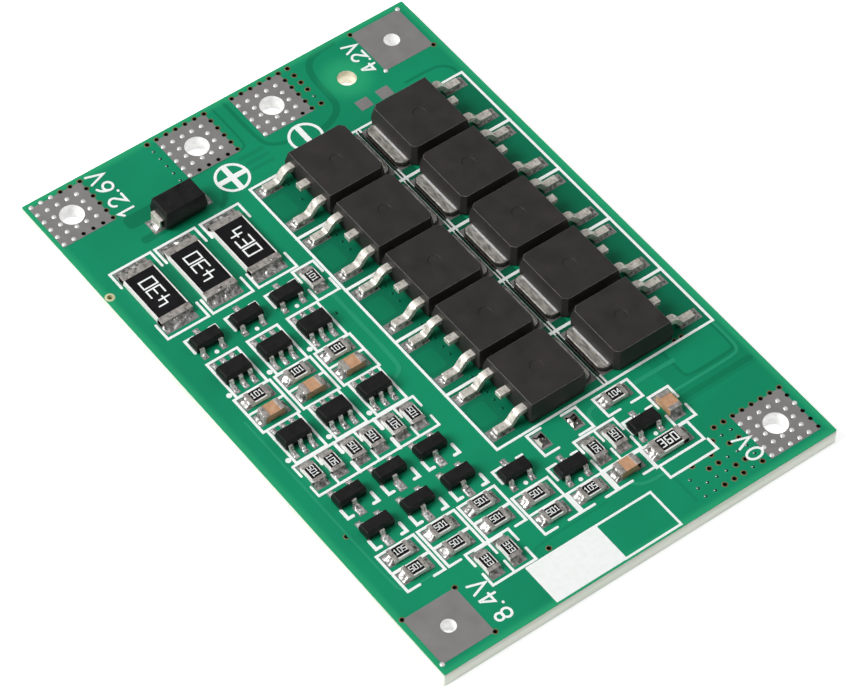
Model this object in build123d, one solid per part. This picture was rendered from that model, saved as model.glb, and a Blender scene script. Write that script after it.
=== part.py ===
# Battery management board for a three cell pack.
# Millimetres. X runs along the 60 mm side, Y along the 41 mm side, Z is up.
# The origin is the centre of the underside, level with the tinned lands there.
import math
import os

from build123d import *

os.makedirs("parts", exist_ok=True)

# Board: its thickness is over the tinned lands, which stand a little proud of the coats
BOARD_X = 60.0
BOARD_Y = 41.0
BOARD_T = 1.6
MASK_T = 0.03
PROUD = 0.02
CUT = 1.0

# Terminals: square plated lands, each set in from the board's nearest edges
TERMINAL_SIDE = 5.3
BARREL_WALL = 0.16
WIRE_HOLE_R = 1.12
TAP_HOLE_R = 0.75
CORNER_HOLE_R = 0.68
LEFT_INSET = 3.25
RIGHT_INSET = 3.6
INSET_12V6 = 3.05
INSET_4V2 = 3.55
INSET_8V4 = 3.15
INSET_0V = 3.65
PLUS_Y = -4.3
MINUS_Y = 3.75

# The plain hole between two terminals, set in from the corner next to it
LOCATING_R = 0.85
LOCATING_RING = 0.2
LOCATING_INSET_X = 4.55
LOCATING_INSET_Y = 9.5

# Power transistors: moulded bodies on a metal tab, in two rows with their tabs facing
POWER_COUNT = 5
POWER_W = 6.6
POWER_D = 6.2
POWER_GAP = 0.4
POWER_ROW_END_X = 14.5
LOWER_ROW_Y = 3.42
TAB_TO_TAB = 0.64
POWER_CLEAR = 0.05
POWER_PARTING = 1.1
POWER_TOP = 2.3
POWER_CORNER = 0.4
POWER_DRAFT_X = 0.25
POWER_DRAFT_Y = 0.2
POWER_UNDERCUT = 0.08
TAB_W = 5.33
TAB_T = 0.5
TAB_OUT = 1.1
TAB_IN = 4.95
TAB_CHAMFER = 0.5
LEAD_W = 0.76
LEAD_T = 0.5
LEAD_PITCH = 2.286
LEAD_Z = 1.32
LEAD_SOCKET = 0.35
LEAD_KNEE = 0.75
LEAD_ANKLE = 1.5
LEAD_REACH = 2.95
LEAD_BEND_R = 0.6
STUB_REACH = 0.95
TAB_LAND_SIDE = 0.135
TAB_LAND_FRONT = 0.15
TAB_LAND_BACK = 0.05
FOOT_LAND_SIDE = 0.22
FOOT_LAND_FRONT = 0.65
FOOT_LAND_BACK = 0.2

# Chip parts: length, width and height, and how far the metal ends reach over them
END_T = 0.04
FILM_T = 0.03
CHIP_L = 2.0
CHIP_W = 1.25
CHIP_H = 0.5
CHIP_END = 0.4
CHIP_BORDER = 0.125
CAPACITOR_H = 0.85
CAPACITOR_END = 0.45
LONG_L = 3.2
LONG_W = 1.6
LONG_H = 0.55
LONG_END = 0.6
LONG_BORDER = 0.15
BALANCE_L = 6.4
BALANCE_W = 3.2
BALANCE_H = 0.58
BALANCE_END = 0.7
BALANCE_BORDER = 0.15
CHIP_LAND_OUT = 0.55
BALANCE_LAND_OUT = 0.85
CHIP_LAND_IN = 0.05
CHIP_LAND_SIDE = 0.05

# Small moulded packages with bent leads along their two long sides
WIRE_T = 0.14
WIRE_SHOULDER = 0.12
WIRE_SLOPE = 0.15
WIRE_SPACING = 0.95
SHELL_CLEAR = 0.06
SHELL_DRAFT = 0.1
SHELL_UNDERCUT = 0.05
THREE_W = 1.3
THREE_L = 2.8
THREE_TOP = 1.0
THREE_PARTING = 0.52
THREE_REACH = 1.2
THREE_WIRE_W = 0.42
SIX_W = 1.6
SIX_L = 2.75
SIX_TOP = 1.08
SIX_PARTING = 0.58
SIX_REACH = 1.45
SIX_WIRE_W = 0.38
THREE_LAND_HALF = 0.28
THREE_LAND_IN = 0.8
THREE_LAND_OUT = 1.45
SINGLE_LAND_OUT = 1.75
SWITCH_LAND_HALF = 0.38
SWITCH_LAND_IN = 0.95
SWITCH_LAND_OUT = 2.05
SIX_LAND_HALF = 0.26
SIX_LAND_IN = 1.175
SIX_LAND_OUT = 1.925

# Diode: a moulded block with two straps folded under its ends
DIODE_X = -21.5
DIODE_Y = -9.9
DIODE_L = 4.3
DIODE_W = 2.6
DIODE_TOP = 2.2
DIODE_PARTING = 1.05
DIODE_CLEAR = 0.2
DIODE_DRAFT = 0.15
STRAP_W = 1.4
STRAP_T = 0.18
STRAP_SOCKET = 0.25
STRAP_OUT = 0.22
STRAP_UNDER = 0.9
STRAP_LAND_IN = 1.0
STRAP_LAND_OUT = 0.9
STRAP_LAND_SIDE = 0.1

# Three like rows, one for each cell, and the columns that their parts stand in
CELL_COUNT = 3
CELL_FIRST_Y = -7.96
CELL_PITCH = 4.14
BALANCE_X = -15.14
BALANCE_FIRST_Y = -7.5
BALANCE_PITCH = 4.63
FIRST_SWITCH_X = -8.5
BALANCE_IC_X = -4.475
DELAY_R_X = -1.26
DELAY_C_X = 0.82
PROTECTION_IC_X = 3.93
SENSE_R_X = 7.94
SENSE_R_STEP = 0.96
SECOND_SWITCH_X = 11.55
THIRD_SWITCH_X = 15.35
PULL_X = 18.48
PULL_STEP = 2.05

# The other parts, by the place of their middle
GATE_R_X = -8.72
GATE_R_Y = -5.05
END_R_X = 23.48
END_R_Y = -8.95
END_R_STEP = 2.22
DRIVER_Y = -3.84
DRIVER_X = 17.65
DRIVER_R_X = 20.49
DRIVER_R_STEP = 2.22
RIGHT_COLUMN_X = 22.75
RIGHT_R_Y = 0.06
RIGHT_C_Y = 3.87
RIGHT_LONG_Y = 8.28
INNER_COLUMN_X = 19.72
INNER_SWITCH_X = 20.05
INNER_SWITCH_Y = 0.15
INNER_R_Y = 2.93
INNER_R_STEP = 2.13
UPPER_SWITCH_Y = 7.86
INNER_C_Y = 10.8
TIMER_X = 16.3
TIMER_Y = 7.77
EMPTY_Y = 1.78
EMPTY_SPAN = 3.45
EMPTY_L = 1.1
EMPTY_W = 1.7
TEST_LAND_Y = 11.55
TEST_LAND_SPAN = 2.25
TEST_LAND_L = 1.3
TEST_LAND_W = 1.2

LEFT_X = -BOARD_X / 2 + LEFT_INSET
RIGHT_X = BOARD_X / 2 - RIGHT_INSET
TERMINALS = {
    "terminal_12v6": (LEFT_X, -BOARD_Y / 2 + INSET_12V6, WIRE_HOLE_R),
    "terminal_plus": (LEFT_X, PLUS_Y, WIRE_HOLE_R),
    "terminal_minus": (LEFT_X, MINUS_Y, WIRE_HOLE_R),
    "terminal_4v2": (LEFT_X, BOARD_Y / 2 - INSET_4V2, TAP_HOLE_R),
    "terminal_8v4": (RIGHT_X, -BOARD_Y / 2 + INSET_8V4, CORNER_HOLE_R),
    "terminal_0v": (RIGHT_X, BOARD_Y / 2 - INSET_0V, WIRE_HOLE_R),
}
LOCATING_X = -BOARD_X / 2 + LOCATING_INSET_X
LOCATING_Y = BOARD_Y / 2 - LOCATING_INSET_Y
POWER_PITCH = POWER_W + POWER_GAP
POWER_FIRST_X = POWER_ROW_END_X - POWER_W / 2 - POWER_PITCH * (POWER_COUNT - 1)
UPPER_ROW_Y = LOWER_ROW_Y + POWER_D + 2 * TAB_OUT + TAB_TO_TAB
CELL_ROWS = [CELL_FIRST_Y - CELL_PITCH * i for i in range(CELL_COUNT)]
TEST_LAND_X = (LEFT_X + TERMINAL_SIDE / 2 + POWER_FIRST_X - POWER_W / 2) / 2


def at(shape, x, y, turn=0.0):
    """Set a part, drawn at the origin on z = 0, on the lands at x, y."""
    return Pos(x, y, BOARD_T) * Rot(0, 0, turn) * shape


def block(x0, x1, y0, y1, z0, z1):
    """A box between two corners."""
    return Pos((x0 + x1) / 2, (y0 + y1) / 2, (z0 + z1) / 2) * Box(x1 - x0, y1 - y0, z1 - z0)


def drill(x, y, r):
    """A cutter through the whole board."""
    return Pos(x, y, BOARD_T / 2) * Cylinder(r, BOARD_T + 2 * CUT)


def ribbon(path, thickness, width):
    """A strip of even thickness that follows a bent path in the y-z plane."""
    upper, under = [], []
    for i, (y, z) in enumerate(path):
        before = path[max(i - 1, 0)]
        after = path[min(i + 1, len(path) - 1)]
        a = math.atan2(z - before[1], y - before[0]) if i else None
        b = math.atan2(after[1] - z, after[0] - y) if i < len(path) - 1 else None
        a = b if a is None else a
        b = a if b is None else b
        mean, half = (a + b) / 2, (b - a) / 2
        reach = thickness / 2 / math.cos(half)
        upper.append((y - reach * math.sin(mean), z + reach * math.cos(mean)))
        under.append((y + reach * math.sin(mean), z - reach * math.cos(mean)))
    face = Plane.YZ * make_face(Polyline(*upper, *reversed(under), close=True))
    return extrude(face, amount=width / 2, both=True)


def rounded(corner, before, after, radius, steps=2):
    """Points along the arc that rounds a corner between two neighbours."""
    ways = []
    for other in (before, after):
        gap = math.dist(corner, other)
        ways.append(((other[0] - corner[0]) / gap, (other[1] - corner[1]) / gap))
    turn = math.pi - math.acos(ways[0][0] * ways[1][0] + ways[0][1] * ways[1][1])
    back = radius * math.tan(turn / 2)
    ends = [(corner[0] + back * w[0], corner[1] + back * w[1]) for w in ways]
    to_centre = radius / math.cos(turn / 2)
    mid = (ways[0][0] + ways[1][0], ways[0][1] + ways[1][1])
    size = math.hypot(*mid)
    cx, cy = corner[0] + mid[0] / size * to_centre, corner[1] + mid[1] / size * to_centre
    a0 = math.atan2(ends[0][1] - cy, ends[0][0] - cx)
    a1 = math.atan2(ends[1][1] - cy, ends[1][0] - cx)
    swept = (a1 - a0 + math.pi) % (2 * math.pi) - math.pi
    angles = [a0 + swept * i / steps for i in range(steps + 1)]
    return [(cx + radius * math.cos(a), cy + radius * math.sin(a)) for a in angles]


def moulded(w, d, z0, z1, inset_x, inset_y, corner=0.0):
    """A block that narrows from z0 to z1; the two corners at its +y end may be cut."""
    outlines = []
    for z, dx, dy in ((z0, 0, 0), (z1, inset_x, inset_y)):
        x, y = w / 2 - dx, d / 2 - dy
        points = [(-x, -y), (x, -y), (x, y - corner), (x - corner, y)]
        points += [(corner - x, y), (-x, y - corner)]
        if not corner:
            points = [(-x, -y), (x, -y), (x, y), (-x, y)]
        outlines.append(Plane.XY.offset(z) * make_face(Polyline(*points, close=True)))
    return loft(outlines, ruled=True)


def board_sheet(z0, z1):
    return block(-BOARD_X / 2, BOARD_X / 2, -BOARD_Y / 2, BOARD_Y / 2, z0, z1)


def terminal_block(x, y, z0, z1):
    h = TERMINAL_SIDE / 2
    return block(x - h, x + h, y - h, y + h, z0, z1)


nodes = {}

# The bare board: the terminals' holes are wider by their barrel's wall
CORE_Z = PROUD + MASK_T
holes = [drill(x, y, r + BARREL_WALL) for x, y, r in TERMINALS.values()]
holes.append(drill(LOCATING_X, LOCATING_Y, LOCATING_R))
nodes["laminate"] = board_sheet(CORE_Z, BOARD_T - CORE_Z) - holes

# The two coats stay off the terminals and a ring round the plain hole
openings = [terminal_block(x, y, -CUT, BOARD_T + CUT) for x, y, r in TERMINALS.values()]
openings.append(drill(LOCATING_X, LOCATING_Y, LOCATING_R + LOCATING_RING))
nodes["solder_mask_top"] = board_sheet(BOARD_T - CORE_Z, BOARD_T - PROUD) - openings
nodes["solder_mask_bottom"] = board_sheet(PROUD, CORE_Z) - openings

# Terminals: top land, barrel through the board and bottom land in one piece
for name, (x, y, r) in TERMINALS.items():
    top = terminal_block(x, y, BOARD_T - CORE_Z, BOARD_T)
    foot = terminal_block(x, y, 0, CORE_Z)
    barrel = Pos(x, y, BOARD_T / 2) * Cylinder(r + BARREL_WALL, BOARD_T - 2 * CORE_Z)
    nodes[name] = top + barrel + foot - drill(x, y, r)

lands = []


def land(x, y, turn, x0, x1, y0, y1):
    """A tinned land, drawn about the middle of the part that stands at x, y."""
    flat = block(x0, x1, y0, y1, BOARD_T - PROUD, BOARD_T)
    lands.append(Pos(x, y) * Rot(0, 0, turn) * flat)


# Power transistors: body with sockets for the leads and a pocket for the tab
half_d = POWER_D / 2
low, high = LEAD_Z - LEAD_T / 2, LEAD_Z + LEAD_T / 2
lead_root = -half_d + LEAD_SOCKET
body = moulded(POWER_W, POWER_D, POWER_PARTING, POWER_TOP, POWER_DRAFT_X, POWER_DRAFT_Y, POWER_CORNER)
body += moulded(
    POWER_W, POWER_D, POWER_PARTING, POWER_CLEAR, POWER_UNDERCUT, POWER_UNDERCUT, POWER_CORNER
)
for x in (-LEAD_PITCH, 0, LEAD_PITCH):
    body -= block(x - LEAD_W / 2, x + LEAD_W / 2, -half_d - CUT, lead_root, low, high)
body -= block(-TAB_W / 2, TAB_W / 2, half_d - TAB_IN, half_d + CUT, -CUT, TAB_T)

tab_outline = Rectangle(TAB_W, TAB_IN + TAB_OUT)
tab_outline = chamfer(tab_outline.vertices().sort_by(Axis.Y)[-2:], TAB_CHAMFER)
tab = extrude(Pos(0, half_d + (TAB_OUT - TAB_IN) / 2) * tab_outline, amount=TAB_T)

knee = (-half_d - LEAD_KNEE, LEAD_Z)
ankle = (-half_d - LEAD_ANKLE, LEAD_T / 2)
tip = (-half_d - LEAD_REACH, LEAD_T / 2)
path = [(lead_root, LEAD_Z)]
path += rounded(knee, path[0], ankle, LEAD_BEND_R)
path += rounded(ankle, knee, tip, LEAD_BEND_R)
path.append(tip)
lead = ribbon(path, LEAD_T, LEAD_W)
stub = block(-LEAD_W / 2, LEAD_W / 2, -half_d - STUB_REACH, lead_root, low, high)
leads = [Pos(-LEAD_PITCH, 0, 0) * lead, stub, Pos(LEAD_PITCH, 0, 0) * lead]

number = 0
for y, turn in ((LOWER_ROW_Y, 0), (UPPER_ROW_Y, 180)):
    for i in range(POWER_COUNT):
        x = POWER_FIRST_X + POWER_PITCH * i
        number += 1
        nodes[f"mosfet_body_{number:02d}"] = at(body, x, y, turn)
        nodes[f"mosfet_tab_{number:02d}"] = at(tab, x, y, turn)
        nodes[f"mosfet_leads_{number:02d}"] = [at(s, x, y, turn) for s in leads]
        side = TAB_W / 2 + TAB_LAND_SIDE
        back = half_d - TAB_IN - TAB_LAND_BACK
        land(x, y, turn, -side, side, back, half_d + TAB_OUT + TAB_LAND_FRONT)
        side = LEAD_W / 2 + FOOT_LAND_SIDE
        for s in (-LEAD_PITCH, LEAD_PITCH):
            land(x, y, turn, s - side, s + side, tip[0] - FOOT_LAND_FRONT, ankle[0] + FOOT_LAND_BACK)


def chip(length, width, height, end, border=None):
    """A ceramic block, its two wrapped metal ends and, on resistors, the dark film."""
    x, y = length / 2 - END_T, width / 2
    core = block(-x, x, -y, y, END_T, height - END_T)
    ends = []
    for way in (-1, 1):
        inner, outer = way * (length / 2 - end), way * length / 2
        x0, x1 = min(inner, outer), max(inner, outer)
        ends.append(block(x0, x1, -y, y, 0, height) - core)
    if border is None:
        return core, ends, None
    x, y = length / 2 - end, y - border
    return core, ends, block(-x, x, -y, y, height - END_T, height - END_T + FILM_T)


def chip_lands(x, y, turn, length, width, end, out):
    side = width / 2 + CHIP_LAND_SIDE
    for way in (-1, 1):
        a, b = way * (length / 2 - end - CHIP_LAND_IN), way * (length / 2 + out)
        land(x, y, turn, min(a, b), max(a, b), -side, side)


def add_chip(group, parts, x, y, turn=0):
    """Add a chip's core, ends and film to the three nodes of its group."""
    core, ends, film = parts
    nodes.setdefault(group + "_cores", []).append(at(core, x, y, turn))
    nodes.setdefault(group + "_ends", []).extend(at(s, x, y, turn) for s in ends)
    if film is not None:
        nodes.setdefault(group + "_films", []).append(at(film, x, y, turn))


# Balance resistors: one long chip for each cell
parts = chip(BALANCE_L, BALANCE_W, BALANCE_H, BALANCE_END, BALANCE_BORDER)
for i in range(CELL_COUNT):
    y = BALANCE_FIRST_Y - BALANCE_PITCH * i
    add_chip("balance_resistor", parts, BALANCE_X, y)
    chip_lands(BALANCE_X, y, 0, BALANCE_L, BALANCE_W, BALANCE_END, BALANCE_LAND_OUT)

# Small resistors: those of the cell rows, then the others
SMALL_RESISTORS = [(DELAY_R_X, y, 90) for y in CELL_ROWS]
SMALL_RESISTORS += [(PULL_X + s, y, 90) for y in CELL_ROWS for s in (0, PULL_STEP)]
SMALL_RESISTORS += [(SENSE_R_X, y + s, 0) for y in CELL_ROWS for s in (SENSE_R_STEP, -SENSE_R_STEP)]
SMALL_RESISTORS += [(GATE_R_X, GATE_R_Y, 0)]
SMALL_RESISTORS += [(END_R_X, END_R_Y - s, 0) for s in (0, END_R_STEP)]
SMALL_RESISTORS += [(DRIVER_R_X + s, DRIVER_Y, 90) for s in (0, DRIVER_R_STEP)]
SMALL_RESISTORS += [(RIGHT_COLUMN_X, RIGHT_R_Y, 90)]
SMALL_RESISTORS += [(INNER_COLUMN_X, INNER_R_Y + s, 0) for s in (0, INNER_R_STEP)]
SMALL_RESISTORS += [(TIMER_X, TIMER_Y, 90)]
parts = chip(CHIP_L, CHIP_W, CHIP_H, CHIP_END, CHIP_BORDER)
for x, y, turn in SMALL_RESISTORS:
    add_chip("chip_resistor", parts, x, y, turn)
    chip_lands(x, y, turn, CHIP_L, CHIP_W, CHIP_END, CHIP_LAND_OUT)
parts = chip(LONG_L, LONG_W, LONG_H, LONG_END, LONG_BORDER)
add_chip("chip_resistor", parts, RIGHT_COLUMN_X, RIGHT_LONG_Y, 90)
chip_lands(RIGHT_COLUMN_X, RIGHT_LONG_Y, 90, LONG_L, LONG_W, LONG_END, CHIP_LAND_OUT)

# Capacitors: thicker chips without a film
CAPACITORS = [(DELAY_C_X, y, 90) for y in CELL_ROWS]
CAPACITORS += [(RIGHT_COLUMN_X, RIGHT_C_Y, 90), (INNER_COLUMN_X, INNER_C_Y, 0)]
parts = chip(CHIP_L, CHIP_W, CAPACITOR_H, CAPACITOR_END)
for x, y, turn in CAPACITORS:
    add_chip("chip_capacitor", parts, x, y, turn)
    chip_lands(x, y, turn, CHIP_L, CHIP_W, CAPACITOR_END, CHIP_LAND_OUT)

# The lands of the empty footprint and the two bare test lands
for x, y, w, span, length in (
    (TIMER_X, EMPTY_Y, EMPTY_W, EMPTY_SPAN, EMPTY_L),
    (TEST_LAND_X, TEST_LAND_Y, TEST_LAND_W, TEST_LAND_SPAN, TEST_LAND_L),
):
    for way in (-1, 1):
        middle = way * span / 2
        land(x, y, 0, -w / 2, w / 2, middle - length / 2, middle + length / 2)


def small_package(w, length, top, parting, reach, wire_w, spots):
    """A shell and its leads; spots gives each lead's side, 1 or -1 along x, and its y."""
    low, high = parting - WIRE_T / 2, parting + WIRE_T / 2
    shell = block(-w / 2, w / 2, -length / 2, length / 2, low, high)
    shell += moulded(w, length, high, top, SHELL_DRAFT, SHELL_DRAFT)
    shell += moulded(w, length, low, SHELL_CLEAR, SHELL_UNDERCUT, SHELL_UNDERCUT)
    shoulder = w / 2 + WIRE_SHOULDER
    path = [(w / 2, parting), (shoulder, parting)]
    path += [(shoulder + WIRE_SLOPE, WIRE_T / 2), (reach, WIRE_T / 2)]
    wire = ribbon(path, WIRE_T, wire_w)
    return shell, [Pos(0, y, 0) * Rot(0, 0, -90 * side) * wire for side, y in spots]


def add_package(group, package, x, y, turn=0):
    shell, wires = package
    nodes.setdefault(group + "_bodies", []).append(at(shell, x, y, turn))
    nodes.setdefault(group + "_leads", []).extend(at(s, x, y, turn) for s in wires)


def side_lands(x, y, turn, spots, inner, outer, half):
    for side, spot in spots:
        land(x, y, turn, min(side * inner, side * outer), max(side * inner, side * outer),
             spot - half, spot + half)


# Three-leaded switches: a pair of leads on one side and a single one on the other
PAIR = [(1, -WIRE_SPACING), (1, WIRE_SPACING)]
SINGLE = [(-1, 0.0)]
SMALL_SWITCHES = [(FIRST_SWITCH_X, y) for y in CELL_ROWS]
SMALL_SWITCHES += [(DRIVER_X, DRIVER_Y), (INNER_SWITCH_X, INNER_SWITCH_Y)]
SMALL_SWITCHES += [(INNER_SWITCH_X, UPPER_SWITCH_Y)]
TURNED_SWITCHES = [(x, y) for y in CELL_ROWS for x in (SECOND_SWITCH_X, THIRD_SWITCH_X)]
package = small_package(
    THREE_W, THREE_L, THREE_TOP, THREE_PARTING, THREE_REACH, THREE_WIRE_W, PAIR + SINGLE
)
for x, y in SMALL_SWITCHES:
    add_package("transistor", package, x, y)
    side_lands(x, y, 0, PAIR, THREE_LAND_IN, THREE_LAND_OUT, THREE_LAND_HALF)
    side_lands(x, y, 0, SINGLE, THREE_LAND_IN, SINGLE_LAND_OUT, THREE_LAND_HALF)
for x, y in TURNED_SWITCHES:
    add_package("transistor", package, x, y, 180)
    side_lands(x, y, 180, PAIR, THREE_LAND_IN, THREE_LAND_OUT, THREE_LAND_HALF)
    side_lands(x, y, 180, SINGLE, SWITCH_LAND_IN, SWITCH_LAND_OUT, SWITCH_LAND_HALF)

# Six-leaded circuits: three leads on each side
SIX = [(side, s) for side in (1, -1) for s in (-WIRE_SPACING, 0.0, WIRE_SPACING)]
package = small_package(SIX_W, SIX_L, SIX_TOP, SIX_PARTING, SIX_REACH, SIX_WIRE_W, SIX)
for group, x in (("balance_ic", BALANCE_IC_X), ("protection_ic", PROTECTION_IC_X)):
    for y in CELL_ROWS:
        add_package(group, package, x, y)
        side_lands(x, y, 0, SIX, SIX_LAND_IN, SIX_LAND_OUT, SIX_LAND_HALF)

# Diode: its straps leave at the parting line and fold down and under
shell = moulded(DIODE_L, DIODE_W, DIODE_PARTING, DIODE_TOP, DIODE_DRAFT, DIODE_DRAFT)
shell += moulded(DIODE_L, DIODE_W, DIODE_PARTING, DIODE_CLEAR, SHELL_DRAFT, SHELL_DRAFT)
socket = DIODE_L / 2 - STRAP_SOCKET
outside = DIODE_L / 2 + STRAP_OUT
path = [(socket, DIODE_PARTING), (outside, DIODE_PARTING)]
path += [(outside, STRAP_T / 2), (DIODE_L / 2 - STRAP_UNDER, STRAP_T / 2)]
strap = ribbon(path, STRAP_T, STRAP_W)
straps = []
for side in (1, -1):
    straps.append(at(Rot(0, 0, -90 * side) * strap, DIODE_X, DIODE_Y, 90))
    x0, x1 = sorted((side * socket, side * DIODE_L))
    low, high = DIODE_PARTING - STRAP_T / 2, DIODE_PARTING + STRAP_T / 2
    shell -= block(x0, x1, -STRAP_W / 2, STRAP_W / 2, low, high)
    x0, x1 = sorted((side * (DIODE_L / 2 - STRAP_LAND_IN), side * (DIODE_L / 2 + STRAP_LAND_OUT)))
    wide = STRAP_W / 2 + STRAP_LAND_SIDE
    land(DIODE_X, DIODE_Y, 90, x0, x1, -wide, wide)
nodes["diode_body"] = at(shell, DIODE_X, DIODE_Y, 90)
nodes["diode_straps"] = straps

nodes["component_lands"] = lands

for name, shape in nodes.items():
    if isinstance(shape, list):
        shape = Compound(children=[s if isinstance(s, Solid) else s.solids()[0] for s in shape])
    export_step(shape, f"parts/{name}.step")
print(len(nodes), "nodes")
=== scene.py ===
import math

import bmesh
import bpy
from mathutils import Matrix, Vector, noise
from mathutils.geometry import delaunay_2d_cdt


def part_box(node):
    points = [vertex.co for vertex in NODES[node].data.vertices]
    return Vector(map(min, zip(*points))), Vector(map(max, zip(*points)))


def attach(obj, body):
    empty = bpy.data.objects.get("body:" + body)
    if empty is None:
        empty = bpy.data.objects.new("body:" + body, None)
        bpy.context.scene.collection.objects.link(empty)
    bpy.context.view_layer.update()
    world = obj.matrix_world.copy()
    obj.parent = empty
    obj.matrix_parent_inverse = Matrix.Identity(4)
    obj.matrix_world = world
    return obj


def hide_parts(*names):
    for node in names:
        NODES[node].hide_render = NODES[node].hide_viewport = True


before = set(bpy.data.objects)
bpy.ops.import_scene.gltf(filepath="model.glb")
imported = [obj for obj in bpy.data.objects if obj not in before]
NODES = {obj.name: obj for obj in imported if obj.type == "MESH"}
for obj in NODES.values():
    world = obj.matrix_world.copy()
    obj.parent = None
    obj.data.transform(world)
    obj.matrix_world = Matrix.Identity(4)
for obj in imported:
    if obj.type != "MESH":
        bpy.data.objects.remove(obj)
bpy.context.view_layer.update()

# Lengths are in millimetres, and become metres where a mesh is made
MM = 0.001

# Points nearer than this are one point: in millimetres, and in the metres of the CAD's meshes
WELD = 1e-4
CAD_WELD = 1e-7


# Mesh helpers

def piece(name, bm, material, replaces=(), sharp=40, weighted=False):
    """Turn a bmesh in millimetres into a piece that rides on the board."""
    bmesh.ops.scale(bm, vec=(MM, MM, MM), verts=bm.verts)
    mesh = bpy.data.meshes.new(name)
    bm.to_mesh(mesh)
    bm.free()
    mesh.shade_smooth()
    if weighted:
        keep_flats(mesh)
    else:
        mesh.set_sharp_from_angle(angle=math.radians(sharp))
    obj = bpy.data.objects.new(name, mesh)
    bpy.context.collection.objects.link(obj)
    for m in material if isinstance(material, tuple) else (material,):
        mesh.materials.append(m)
    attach(obj, "root")
    if replaces:
        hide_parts(*replaces)
    return obj


def keep_flats(mesh):
    """Normals that follow the larger faces, so that only the rounded edges bend the light."""
    sums = [Vector() for _ in mesh.vertices]
    for face in mesh.polygons:
        for i in face.vertices:
            sums[i] += face.normal * face.area
    mesh.normals_split_custom_set_from_vertices([n.normalized() for n in sums])


def box_mm(node):
    low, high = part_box(node)
    return low / MM, high / MM


def middle(low, high):
    """The middle of a box, seen from above."""
    return (low.x + high.x) / 2, (low.y + high.y) / 2


def corners_of(low, high):
    """The corners of a box seen from above, anticlockwise from the lower left one."""
    return [(low.x, low.y), (high.x, low.y), (high.x, high.y), (low.x, high.y)]


def circle(x, y, r, steps):
    """Points round a circle, anticlockwise."""
    turns = [2 * math.pi * i / steps for i in range(steps)]
    return [(x + r * math.cos(a), y + r * math.sin(a)) for a in turns]


def rounded_rect(x0, x1, y0, y1, r, steps=4):
    """Points round a rectangle with rounded corners, anticlockwise."""
    points = []
    corners = ((x1 - r, y1 - r, 0), (x0 + r, y1 - r, 90), (x0 + r, y0 + r, 180), (x1 - r, y0 + r, 270))
    for cx, cy, start in corners:
        for i in range(steps + 1):
            a = math.radians(start + 90 * i / steps)
            points.append((cx + r * math.cos(a), cy + r * math.sin(a)))
    return points


def triangulated(outline, holes=()):
    """Triangles inside an outline and outside all its holes, which may cross it."""
    verts, edges = [], []
    for loop in [outline] + list(holes):
        first = len(verts)
        verts += [Vector(p) for p in loop]
        edges += [(first + i, first + (i + 1) % len(loop)) for i in range(len(loop))]
    points, _, faces, *_ = delaunay_2d_cdt(verts, edges, [], 1, 1e-6)
    spans = []
    for hole in holes:
        xs, ys = zip(*hole)
        spans.append((min(xs), max(xs), min(ys), max(ys)))
    kept = []
    for face in faces:
        a, b, c = [points[i] for i in face]
        mid = (a + b + c) / 3
        near = [h for h, (x0, x1, y0, y1) in zip(holes, spans) if x0 < mid.x < x1 and y0 < mid.y < y1]
        if is_inside(mid, outline) and not any(is_inside(mid, h) for h in near):
            kept.append(face if (b - a).cross(c - a) > 0 else face[::-1])
    return points, kept


def rim_of(faces):
    """The edges that only one triangle has, in its own turning sense."""
    sides = [(f[i], f[(i + 1) % 3]) for f in faces for i in range(3)]
    known = set(sides)
    return [(i, j) for i, j in sides if (j, i) not in known]


def is_inside(p, loop):
    inside = False
    for (xa, ya), (xb, yb) in zip(loop, loop[1:] + loop[:1]):
        if (ya > p.y) != (yb > p.y) and p.x < (xb - xa) * (p.y - ya) / (yb - ya) + xa:
            inside = not inside
    return inside


def add_sheet(bm, outline, holes, z0, z1, bottom=True):
    """A plate between two heights, with holes through it; it is closed where it has a bottom."""
    points, faces = triangulated(outline, holes)
    high = [bm.verts.new((p.x, p.y, z1)) for p in points]
    low = [bm.verts.new((p.x, p.y, z0)) for p in points]
    for face in faces:
        bm.faces.new([high[i] for i in face])
        if bottom:
            bm.faces.new([low[i] for i in reversed(face)])
    for i, j in rim_of(faces):
        bm.faces.new((low[i], low[j], high[j], high[i]))
    bmesh.ops.delete(bm, geom=[v for v in high + low if not v.link_faces], context="VERTS")


def add_wall(bm, loop, z0, z1, index=0):
    """The wall that stands on a closed loop; it faces to the right of the loop's way."""
    low = [bm.verts.new((x, y, z0)) for x, y in loop]
    high = [bm.verts.new((x, y, z1)) for x, y in loop]
    for i in range(len(loop)):
        j = (i + 1) % len(loop)
        bm.faces.new((low[i], low[j], high[j], high[i])).material_index = index


def merged(bm, gap=WELD):
    bmesh.ops.remove_doubles(bm, verts=bm.verts, dist=gap)
    return bm


def add_turned(bm, x, y, profile, steps=12, index=0):
    """A turned surface about a vertical line: profile is (radius, z) from the outside in."""
    rings = []
    for r, z in profile:
        if r == 0:
            rings.append([bm.verts.new((x, y, z))])
        else:
            rings.append([bm.verts.new((px, py, z)) for px, py in circle(x, y, r, steps)])
    for outer, inner in zip(rings, rings[1:]):
        for i in range(steps):
            j = (i + 1) % steps
            ring = [outer[i], outer[j]]
            ring += [inner[0]] if len(inner) == 1 else [inner[j], inner[i]]
            bm.faces.new(ring).material_index = index


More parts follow.
